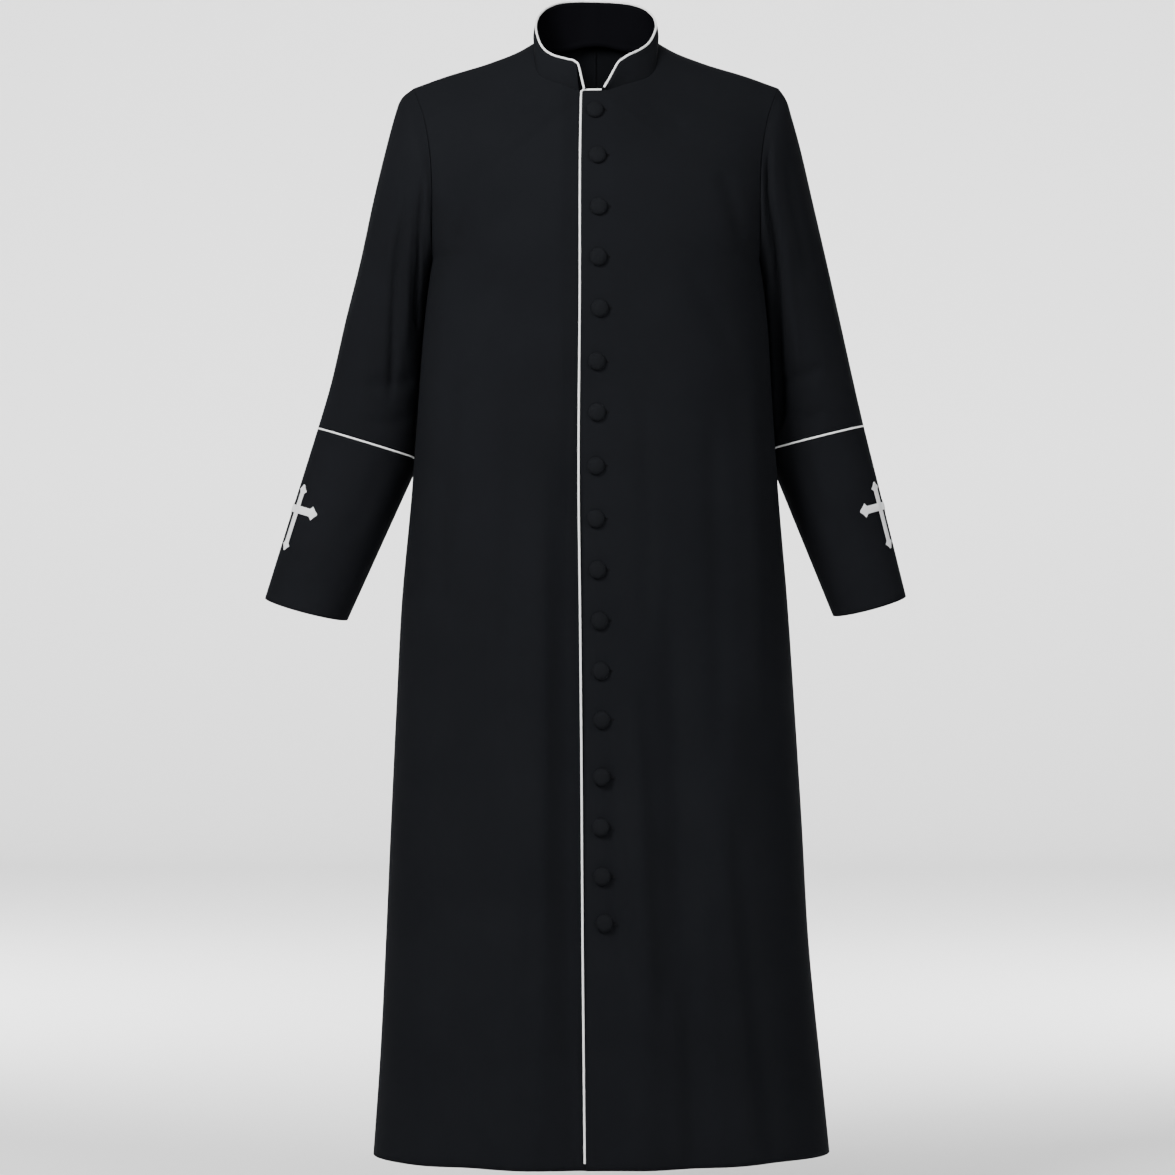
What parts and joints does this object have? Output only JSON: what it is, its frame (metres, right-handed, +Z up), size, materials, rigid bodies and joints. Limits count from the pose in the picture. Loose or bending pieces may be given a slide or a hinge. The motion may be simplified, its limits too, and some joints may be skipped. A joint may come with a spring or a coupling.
{
  "type": "cassock",
  "caption": "Long black buttoned cassock in its worn, hollow shape, with a notched stand collar, set-in sleeves, deep piped cuffs with crosses and an A-line skirt.",
  "frame": {"origin": "middle of the neck base, level with the shoulder line, where the wearer carries the garment", "axes": "+Z up along the wearer's spine, -Y the way the buttoned front faces, +X the wearer's left"},
  "size_m": [0.806, 0.3375, 1.4493],
  "materials": {
    "cloth": "matte black fine wool-like cloth",
    "button_cloth": "black covered buttons of the same cloth",
    "piping": "white corded piping",
    "cross": "off-white satin thread"
  },
  "bodies": {
    "root": {"front_left": "cloth", "front_right": "cloth", "back_left": "cloth", "back_right": "cloth", "back_side_left": "cloth", "back_side_right": "cloth", "sleeve_left": "cloth", "sleeve_right": "cloth", "cuff_left": "cloth", "cuff_right": "cloth", "collar": "cloth", "collar_piping": "piping", "front_piping": "piping", "cuff_piping_left": "piping", "cuff_piping_right": "piping", "cross_left": "cross", "cross_right": "cross", "button_01": "button_cloth", "button_02": "button_cloth", "button_03": "button_cloth", "button_04": "button_cloth", "button_05": "button_cloth", "button_06": "button_cloth", "button_07": "button_cloth", "button_08": "button_cloth", "button_09": "button_cloth", "button_10": "button_cloth", "button_11": "button_cloth", "button_12": "button_cloth", "button_13": "button_cloth", "button_14": "button_cloth", "button_15": "button_cloth", "button_16": "button_cloth", "button_17": "button_cloth"}
  },
  "joints": []
}
